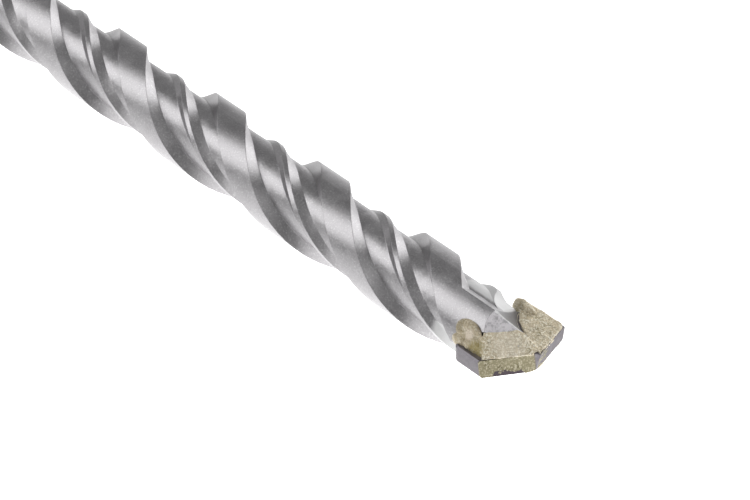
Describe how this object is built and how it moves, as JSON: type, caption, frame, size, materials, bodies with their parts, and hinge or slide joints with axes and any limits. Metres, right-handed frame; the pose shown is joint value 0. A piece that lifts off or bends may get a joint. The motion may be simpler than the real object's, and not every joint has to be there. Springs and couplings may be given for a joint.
{
  "type": "masonry drill bit",
  "caption": "Masonry drill bit with an SDS-plus shank, a right-hand fluted body and a carbide cross plate brazed into its head.",
  "frame": {"origin": "centre of the shank's flat rear face, on the bit's axis", "axes": "+X along the bit's axis to the tip, +Y to one wing of the carbide plate, +Z square to the plate's broad faces and up"},
  "size_m": [0.16, 0.012, 0.01],
  "materials": {
    "steel": "satin, finely milled and lightly blasted",
    "carbide": "ground, dull purple-grey",
    "braze": "grainy, as frozen"
  },
  "bodies": {
    "root": {"steel_body": "steel", "carbide_tip": "carbide", "braze": "braze"}
  },
  "joints": []
}
